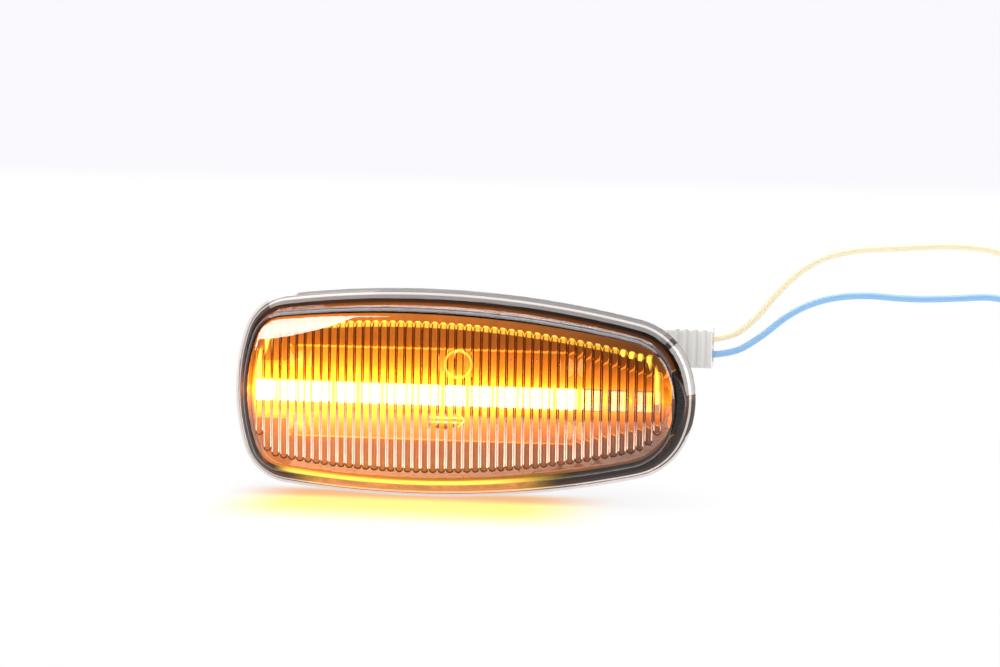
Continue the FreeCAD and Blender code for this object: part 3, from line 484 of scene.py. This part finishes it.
# What each of the unlit finishes is, and what it gives the eye: its two colours, which drift
# into each other over "patch", its roughness, and the size and the height of its fine grain.
# Patch, grain and height are millimetres.
FINISHES = {
    # Moulded EPDM: dull black with a bloom of grey
    "moulded_epdm_rubber": {
        "colours": ("#1B1A1A", "#262524"), "rough": 0.78, "patch": 6.0, "grain": 0.35, "height": 0.08,
    },
    # Stretched PTFE film: matt, fibrous white
    "expanded_ptfe_film": {
        "colours": ("#EDEDEA", "#E2E2DE"), "rough": 0.85, "patch": 1.5, "grain": 0.12, "height": 0.03,
    },
    # Rolled thread and cold-formed head, bright zinc with a faint blue-yellow drift
    "zinc_plated_screw_steel": {
        "colours": ("#C6C8CC", "#CDC8B6"), "rough": 0.28, "patch": 2.0, "grain": 0.2, "height": 0.02,
        "metallic": 1.0,
    },
    # Stamped stainless strip: rolling lines blur its highlights
    "stamped_spring_steel": {
        "colours": ("#B0AEA9", "#9F9C97"), "rough": 0.34, "patch": 4.0, "grain": 0.1, "height": 0.02,
        "metallic": 1.0,
    },
    # Fired alumina with a black glaze on top
    "glazed_resistor_ceramic": {
        "colours": ("#242426", "#303033"), "rough": 0.3, "patch": 0.8, "grain": 0.1, "height": 0.01,
    },
    # Transfer-moulded epoxy: fine matt black
    "moulded_chip_epoxy": {
        "colours": ("#19191A", "#222223"), "rough": 0.6, "patch": 1.0, "grain": 0.12, "height": 0.04,
    },
    # Deep-drawn aluminium can, satin
    "drawn_aluminium_can": {
        "colours": ("#C8C9CC", "#BCBDC0"), "rough": 0.32, "patch": 3.0, "grain": 0.15, "height": 0.01,
        "metallic": 1.0,
    },
    # Poured epoxy: its top is flat and wet-looking
    "poured_black_epoxy": {
        "colours": ("#121213", "#1A1A1B"), "rough": 0.14, "patch": 5.0, "grain": 1.5, "height": 0.05,
    },
    # Stamped and tinned brass: bright with dull patches
    "tinned_brass": {
        "colours": ("#D2CFC4", "#C2B99C"), "rough": 0.27, "patch": 1.2, "grain": 0.1, "height": 0.01,
        "metallic": 1.0,
    },
    # Twisted tinned strands, dipped at the tip
    "tinned_copper_strands": {
        "colours": ("#D4D0CB", "#C9B8A4"), "rough": 0.33, "patch": 0.8, "grain": 0.15, "height": 0.05,
        "metallic": 1.0,
    },
    # Moulded orange silicone: soft, slightly waxy
    "moulded_seal_silicone": {
        "colours": ("#CB894F", "#C07F48"), "rough": 0.5, "patch": 2.0, "grain": 0.2, "height": 0.02,
    },
    # Injection-moulded natural nylon: milky, faintly uneven
    "moulded_natural_nylon": {
        "colours": ("#FBFAF6", "#F3F2EB"), "rough": 0.42, "patch": 5.0, "grain": 0.5, "height": 0.03,
    },
}
GRAIN_STRENGTH = 0.5
ROUGHNESS_DRIFT = 0.1     # from the one colour's patches to the other's


def finish(name):
    facts = FINISHES[name]
    material = new_material(name)
    place, _ = own_place(material)
    drift = noise(material, place, facts["patch"] * MM)
    one, other = facts["colours"]
    smoothest = facts["rough"] - ROUGHNESS_DRIFT / 2
    shader = add(material, "BsdfPrincipled", {
        "Base Color": blend(material, drift, linear(one), linear(other)),
        "Roughness": math_of(material, "MULTIPLY_ADD", drift, ROUGHNESS_DRIFT, smoothest),
        "Metallic": facts.get("metallic", 0.0),
        "Normal": fine_grain(
            material, place, facts["grain"] * MM, GRAIN_STRENGTH, facts["height"] * MM,
        ),
    })
    return finish_with(material, shader.outputs["BSDF"])


# The LED row's light, painted on the parts inside the lamp

# The row's light as it is painted on the board and the parts around it, and as it leaves the emitters
PAINTED_AMBER = [1.0, 0.27, 0.012, 1.0]
WHITE_HOT = [1.0, 0.62, 0.25, 1.0]
STARTING_PEACH = [1.0, 0.66, 0.42, 1.0]
STARTING_YELLOW = [1.0, 0.66, 0.03, 1.0]
GLOW_CORE = 60.0          # right beside the row
GLOW_REACH = 2.5 * MM     # the core falls to a third over this distance
GLOW_WASH = 2.0           # light that reaches the whole inside
GLOW_FADE_X = (-25 * MM, 45 * MM)       # where it starts to fade, and where it is faintest
GLOW_RIGHT_SHARE = 0.1
GLOW_LEFT_X = (-53 * MM, -45 * MM)      # how it comes up at the left end
GLOW_LEFT_SHARE = 0.3
CAVITY_INSET = 4.6 * MM   # middle of the wall between the lit cavity and the lamp's rim
CAVITY_SOFT = 0.6 * MM
RIM_GLOW = 0.06           # share of the light that gets past that wall
CLOUD_SPAN = 0.6          # from the darkest to the brightest patch
BOARD_HALF = 10.5 * MM
BOARD_END_HALF = 5.2 * MM
BOARD_TAPER_X = 26.0 * MM
BOARD_RIGHT = 47.6 * MM
BARE_EDGE = 0.25 * MM     # rim of the board that the solder mask leaves bare
# Painted light: the bare rim gives off this much more of it
BARE_GAIN = 1.1           # how much more of the light the bare rim gives back
BOARD_CLOUD = 2.5 * MM
HOUSING_FACE_Y = -2.9 * MM
# Painted light: the share of it that the housing's face gives off
HOUSING_SHARE = 0.50      # of the light that the housing's face gives back, beside the board's
HOUSING_CLOUD = 3 * MM
HOUSING_GRAIN = 0.35 * MM
HOUSING_GRAIN_HEIGHT = 0.1 * MM
HOUSING_GRAIN_STRENGTH = 0.3
SCREW_CLOUD = 2 * MM
LED_LIT_HALF = 2.2 * MM
LED_EDGE_SOFT = 0.2 * MM
LIT_FRAME = 3.0           # brightness of a lit LED's frame, and of its window beyond that
LIT_WINDOW = 20.0
LIT_GRAIN_SPAN = 6.0
LIT_GRAIN = 0.4 * MM
STARTING_FRAME = 0.7
STARTING_WINDOW = 2.6
STARTING_DIES = 1.0
DIES_HALF = (0.8 * MM, 0.3 * MM)
STARTING_FADE_X = (30 * MM, 46 * MM)
STARTING_LAST_SHARE = 0.55


def painted_glow_from_row(material, parts):
    """How strongly light from the LED row is painted on a point inside the lamp: a hot core along
    the row and a wash over the rest, both fading towards the LEDs that only start to light up."""
    side = math_of(material, "ABSOLUTE", parts["Z"])
    fall = math_of(material, "EXPONENT", math_of(material, "DIVIDE", side, -GLOW_REACH))
    inside = ramp(
        material, inset_from_outline(material, parts),
        CAVITY_INSET - CAVITY_SOFT, CAVITY_INSET + CAVITY_SOFT, RIM_GLOW, 1.0,
    )
    return product(
        material,
        math_of(material, "MULTIPLY_ADD", fall, GLOW_CORE, GLOW_WASH),
        inside,
        ramp(material, parts["X"], *GLOW_FADE_X, 1.0, GLOW_RIGHT_SHARE, "LINEAR"),
        ramp(material, parts["X"], *GLOW_LEFT_X, GLOW_LEFT_SHARE, 1.0),
    )


def painted_light_patches(material, place, size):
    """Uneven patches about one high in the painted light, as real scattered light has."""
    cloud = noise(material, place, size, 4.0)
    return math_of(material, "MULTIPLY_ADD", cloud, CLOUD_SPAN, 1 - CLOUD_SPAN / 2)


def dark_board():
    """Glass-epoxy board with dark solder mask, with the LEDs' amber light painted on it. The mask
    stops short of the edge, where the bare yellowish glass-epoxy shows as a thin line of
    brighter painted light."""
    material = new_material("dark_solder_mask_board")
    place, parts = own_place(material)
    border = ramp(
        material, parts["X"], BOARD_TAPER_X, BOARD_RIGHT,
        BOARD_HALF - BARE_EDGE, BOARD_END_HALF - BARE_EDGE, "LINEAR",
    )
    side = math_of(material, "ABSOLUTE", parts["Z"])
    bare = math_of(material, "GREATER_THAN", side, border)
    shader = add(material, "BsdfPrincipled", {
        "Base Color": blend(material, bare, linear("#2A211B"), linear("#C9B27E")),
        "Roughness": 0.4,
        # The LEDs' light, painted on the board
        "Emission Color": PAINTED_AMBER,
        "Emission Strength": product(
            material, painted_glow_from_row(material, parts), painted_light_patches(material, place, BOARD_CLOUD),
            math_of(material, "MULTIPLY_ADD", bare, BARE_GAIN, 1.0),
        ),
    })
    return finish_with(material, shader.outputs["BSDF"])


def black_abs_housing():
    """Injection-moulded black ABS with a fine spark-eroded grain. The row's amber light is painted
    on its face inside the lens, and everything behind that face stays plain black."""
    material = new_material("moulded_black_abs")
    place, parts = own_place(material)
    face = math_of(material, "LESS_THAN", parts["Y"], HOUSING_FACE_Y)
    shader = add(material, "BsdfPrincipled", {
        "Base Color": linear("#252425"),
        "Roughness": 0.5,
        "Normal": fine_grain(
            material, place, HOUSING_GRAIN, HOUSING_GRAIN_STRENGTH, HOUSING_GRAIN_HEIGHT,
        ),
        "Emission Color": PAINTED_AMBER,
        "Emission Strength": product(
            material, painted_glow_from_row(material, parts), painted_light_patches(material, place, HOUSING_CLOUD),
            face, HOUSING_SHARE,
        ),
    })
    return finish_with(material, shader.outputs["BSDF"])


def nylon_screws():
    """Pan-head screws moulded in white nylon, with the same amber light painted on them as on the
    board they hold.
    """
    material = new_material("white_nylon_screws")
    place, parts = own_place(material)
    shader = add(material, "BsdfPrincipled", {
        "Base Color": linear("#E9E4D8"),
        "Roughness": 0.5,
        "Emission Color": PAINTED_AMBER,
        "Emission Strength": product(
            material, painted_glow_from_row(material, parts), painted_light_patches(material, place, SCREW_CLOUD),
        ),
    })
    return finish_with(material, shader.outputs["BSDF"])


def led_window(material, parts, off):
    """1 over the lit middle of each LED of the row, falling to 0 at its package's frame."""
    far = math_of(material, "MAXIMUM", off, math_of(material, "ABSOLUTE", parts["Z"]))
    return ramp(material, far, LED_LIT_HALF + LED_EDGE_SOFT, LED_LIT_HALF)


def lit_led():
    """Moulded LED package with a phosphor window, driven hard: white-hot all over."""
    material = new_material("lit_led_package")
    place, parts = own_place(material)
    off = off_nearest(material, parts["X"], LED_FIRST_X, LED_PITCH)
    grain = noise(material, place, LIT_GRAIN, 2.0)
    power = math_of(material, "MULTIPLY_ADD", grain, LIT_GRAIN_SPAN, LIT_WINDOW)
    window = led_window(material, parts, off)
    shader = add(material, "BsdfPrincipled", {
        "Base Color": linear("#F4E6C8"),
        "Roughness": 0.4,
        "Emission Color": WHITE_HOT,
        "Emission Strength": math_of(material, "MULTIPLY_ADD", window, power, LIT_FRAME),
    })
    return finish_with(material, shader.outputs["BSDF"])


def starting_led():
    """The same package while it starts to light up: peach white, with a yellow streak where
    its dies are."""
    material = new_material("starting_led_package")
    _, parts = own_place(material)
    off = off_nearest(material, parts["X"], LED_FIRST_X, LED_PITCH)
    window = led_window(material, parts, off)
    dies = product(material, ramp(material, off, *DIES_HALF), window)
    frame_and_window = math_of(
        material, "MULTIPLY_ADD", window, STARTING_WINDOW, STARTING_FRAME,
    )
    power = math_of(material, "MULTIPLY_ADD", dies, STARTING_DIES, frame_and_window)
    fade = ramp(material, parts["X"], *STARTING_FADE_X, 1.0, STARTING_LAST_SHARE, "LINEAR")
    shader = add(material, "BsdfPrincipled", {
        "Base Color": linear("#F4E0C8"),
        "Roughness": 0.4,
        "Emission Color": blend(material, dies, STARTING_PEACH, STARTING_YELLOW),
        "Emission Strength": product(material, power, fade),
    })
    return finish_with(material, shader.outputs["BSDF"])


def dress(material, *names):
    for name in names:
        slots = NODES[name].data.materials
        slots.clear()
        slots.append(material)


dress(smoked_acrylic(), "outer_lens")
dress(black_abs_housing(), "lamp_housing")
dress(finish("moulded_epdm_rubber"), "seal_gasket")
dress(finish("expanded_ptfe_film"), "vent_membrane")
dress(dark_board(), "light_board")
dress(lit_led(), *[f"led_{i:02d}" for i in range(1, 13)])
dress(starting_led(), *[f"led_{i:02d}" for i in range(13, 16)])
dress(nylon_screws(), "board_screws")
dress(finish("zinc_plated_screw_steel"), "clip_screw")
dress(finish("stamped_spring_steel"), "spring_clip")
dress(finish("glazed_resistor_ceramic"), "chip_resistors")
dress(finish("moulded_chip_epoxy"), "driver_chip", "polarity_diode")
dress(finish("drawn_aluminium_can"), "filter_capacitor")
dress(finish("poured_black_epoxy"), "potting_seal")
dress(
    finish("tinned_brass"),
    "upper_terminal_pin", "lower_terminal_pin", "upper_crimp_terminal", "lower_crimp_terminal",
)
dress(finish("tinned_copper_strands"), "yellow_lead_tip", "blue_lead_tip")
dress(finish("moulded_seal_silicone"), "upper_wire_seal", "lower_wire_seal")
dress(finish("moulded_natural_nylon"), "plug_housing")

# Floor, backdrop and lights

FLOOR_Z = -0.0247
COVE_Y = 1.76             # where the floor starts to turn up into the backdrop
COVE_RADIUS = 0.3
COVE_STEPS = 12
BACKDROP_TOP = 2.5
SWEEP_HALF_WIDTH = 3.0
SWEEP_FRONT = -0.24       # the paper ends just below the view
FLOOR_WHITE = "#FFFFFF"
BACKDROP_WHITE = "#F9F9FE"
HORIZON = (0.001, 0.018)  # height above the floor over which the one turns into the other
SHADOW_NEAR = 0.05        # up to here round the lamp the lights count most, and with them its shadow
SHADOW_FAR = 0.22         # from here on the paper is as white as the photograph's
OWN_WHITE = 0.88          # share of its white that the paper keeps beside the lamp all the same
# The lamp's own light, painted on the paper in front of it
FLOOR_PAINTED_YELLOW = "#FFFE9A"
FLOOR_PAINTED_ORANGE = "#FFC894"
GLOW_YELLOW_Y = (-52 * MM, -20 * MM)
GLOW_ORANGE_Y = (-12 * MM, -3 * MM)
GLOW_BEHIND_Y = (10 * MM, 0.0)
GLOW_FLOOR_LEFT = (-58 * MM, -36 * MM)
GLOW_FLOOR_RIGHT = (40 * MM, 14 * MM)
# What the lens's ribs catch from the viewer's side: amber painted on the paper and the air there, for
# the lamp's own light given back
PAINTED_AMBER_DUSK = 0.5
DUSK_Y = (-0.02, -0.05)
# The air: full behind the lamp, and almost none towards the viewer
WORLD_LIGHT = 0.78
AIR_TURN = (-0.35, 0.15)
AIR_FRONT = 0.02


def matt_paper():
    """Matt paper: white on the floor, a touch greyer and cooler up the backdrop. It is evenly
    white wherever it is seen, but for the lamp's shadow and the lamp's light, which is painted on it."""
    material = new_material("matt_white_studio_paper")
    place = add(material, "NewGeometry", {}).outputs["Position"]
    parts = add(material, "SeparateXYZ", {"Vector": place}).outputs
    rise = ramp(material, parts["Z"], FLOOR_Z + HORIZON[0], FLOOR_Z + HORIZON[1])
    # The lamp's light, painted on the paper as a yellow and orange pool in front of it
    glow = product(
        material,
        ramp(material, parts["X"], *GLOW_FLOOR_LEFT),
        ramp(material, parts["X"], *GLOW_FLOOR_RIGHT),
        ramp(material, parts["Y"], *GLOW_YELLOW_Y),
        ramp(material, parts["Y"], *GLOW_BEHIND_Y),
    )
    near_lamp = ramp(material, parts["Y"], *GLOW_ORANGE_Y)
    tone = blend(
        material, glow,
        blend(material, rise, linear(FLOOR_WHITE), linear(BACKDROP_WHITE)),
        blend(material, near_lamp, linear(FLOOR_PAINTED_YELLOW), linear(FLOOR_PAINTED_ORANGE)),
    )
    ray = add(material, "LightPath", {}).outputs
    seen = math_of(material, "MAXIMUM", ray["Is Camera Ray"], ray["Is Glossy Ray"])
    seen = math_of(material, "MAXIMUM", seen, ray["Is Transmission Ray"])
    away = add(material, "VectorMath", {0: place}, operation="LENGTH").outputs["Value"]
    own = ramp(material, away, SHADOW_NEAR, SHADOW_FAR, OWN_WHITE, 1.0)
    paper = add(material, "BsdfDiffuse", {"Color": tone})
    light = add(material, "Emission", {"Color": tone, "Strength": 1.0})
    white = add(material, "MixShader", {
        "Fac": product(material, own, seen), 1: paper.outputs["BSDF"], 2: light.outputs["Emission"],
    })
    # Amber painted on the paper in front of the lamp, which only rays through the lens see
    front = ramp(material, parts["Y"], *DUSK_Y)
    painted_dusk = add(material, "Emission", {"Color": PAINTED_AMBER, "Strength": PAINTED_AMBER_DUSK})
    mix = add(material, "MixShader", {
        "Fac": product(material, front, ray["Is Transmission Ray"]),
        1: white.outputs["Shader"],
        2: painted_dusk.outputs["Emission"],
    })
    return finish_with(material, mix.outputs["Shader"])


def studio_sweep():
    """One seamless sheet: the floor, the cove and the backdrop."""
    points = [(SWEEP_FRONT, FLOOR_Z), (COVE_Y, FLOOR_Z)]
    for i in range(1, COVE_STEPS + 1):
        turn = math.radians(90 * i / COVE_STEPS)
        points.append((
            COVE_Y + COVE_RADIUS * math.sin(turn),
            FLOOR_Z + COVE_RADIUS * (1 - math.cos(turn)),
        ))
    points.append((COVE_Y + COVE_RADIUS, BACKDROP_TOP))
    verts = [(side * SWEEP_HALF_WIDTH, y, z) for y, z in points for side in (-1, 1)]
    faces = [(2 * i, 2 * i + 1, 2 * i + 3, 2 * i + 2) for i in range(len(points) - 1)]
    mesh = bpy.data.meshes.new("studio_sweep")
    mesh.from_pydata(verts, [], faces)
    mesh.materials.append(matt_paper())
    sweep = bpy.data.objects.new("studio_sweep", mesh)
    bpy.context.scene.collection.objects.link(sweep)


# Soft lights, and cards that only the polished lens shows. Each is aimed at a point;
# its strength is the brightness of its face, where 1 is white.
LIGHTS = {
    "overhead_softbox": {
        "at": (0.0, 0.10, 0.80), "to": (0, 0, 0), "size": (1.2, 0.9), "bright": 1.3,
        "seen_in": "all",
    },
    "front_softbox": {
        "at": (0.1, -1.1, 0.65), "to": (0, 0, 0), "size": (0.9, 0.5), "bright": 0.9,
        "seen_in": "diffuse",
    },
    "left_crescent_card": {
        "at": (-0.620, -1.027, 0.315), "to": (0, 0, 0), "size": (0.66, 0.48), "bright": 15.0,
        "seen_in": "glossy", "shape": "ELLIPSE", "turn": 17.0,
    },
    "overhead_card": {
        "at": (0.0, 0.12, 0.6), "to": (0, 0, 0), "size": (1.2, 0.5), "bright": 4.0,
        "seen_in": "glossy",
    },
    "right_card": {
        "at": (0.75, -0.05, 0.25), "to": (0, 0, 0), "size": (0.3, 0.6), "bright": 8.0,
        "seen_in": "glossy",
    },
    "level_card": {
        "at": (0.1, -1.3, -0.025), "to": (0.1, 0, -0.025), "size": (1.4, 0.25), "bright": 9.0,
        "seen_in": "transmission",
    },
}


def area_light(name, facts):
    light = bpy.data.lights.new(name, "AREA")
    light.shape = facts.get("shape", "RECTANGLE")
    light.size, light.size_y = facts["size"]
    light.energy = facts["bright"] * math.pi * light.size * light.size_y
    lamp = bpy.data.objects.new(name, light)
    bpy.context.scene.collection.objects.link(lamp)
    at = Vector(facts["at"])
    back = at - Vector(facts["to"])
    aim = back.to_track_quat("Z", "Y").to_matrix().to_4x4()
    turn = Matrix.Rotation(math.radians(facts.get("turn", 0.0)), 4, "Z")
    lamp.matrix_world = Matrix.Translation(at) @ aim @ turn
    lamp.visible_camera = False
    lamp.visible_transmission = facts["seen_in"] == "transmission"
    lamp.visible_diffuse = facts["seen_in"] in ("all", "diffuse")
    lamp.visible_glossy = facts["seen_in"] in ("all", "glossy")


def studio_world():
    """Even white air. The lens's skin mirrors it white behind the lamp and dark on the viewer's
    side, where what comes through the lens's ribs is amber painted into the air, for the lamp's
    own light given back."""
    world = bpy.data.worlds.new("studio_air")
    world.use_nodes = True
    world.node_tree.nodes.clear()
    aim = add(world, "TexCoord", {}).outputs["Generated"]
    depth = add(world, "SeparateXYZ", {"Vector": aim}).outputs["Y"]
    behind = ramp(world, depth, *AIR_TURN, AIR_FRONT, 1.0)
    ray = add(world, "LightPath", {}).outputs
    lens = math_of(world, "MAXIMUM", ray["Is Glossy Ray"], ray["Is Transmission Ray"])
    plain = math_of(world, "MAXIMUM", ray["Is Camera Ray"], product(world, lens, behind))
    other = math_of(
        world, "SUBTRACT", 1.0, math_of(world, "MAXIMUM", ray["Is Camera Ray"], lens),
    )
    # Amber painted into the air on the viewer's side, which only rays through the lens see
    front = product(
        world, math_of(world, "SUBTRACT", 1.0, behind), ray["Is Transmission Ray"],
    )
    level = math_of(world, "MULTIPLY_ADD", other, WORLD_LIGHT, plain)
    back = add(world, "Background", {
        "Color": blend(world, front, linear(BACKDROP_WHITE), PAINTED_AMBER),
        "Strength": math_of(world, "MULTIPLY_ADD", front, PAINTED_AMBER_DUSK, level),
    })
    add(world, "OutputWorld", {"Surface": back.outputs["Background"]})
    bpy.context.scene.world = world


studio_sweep()
for light_name, light_facts in LIGHTS.items():
    area_light(light_name, light_facts)
studio_world()
bpy.context.scene.view_settings.view_transform = "Standard"
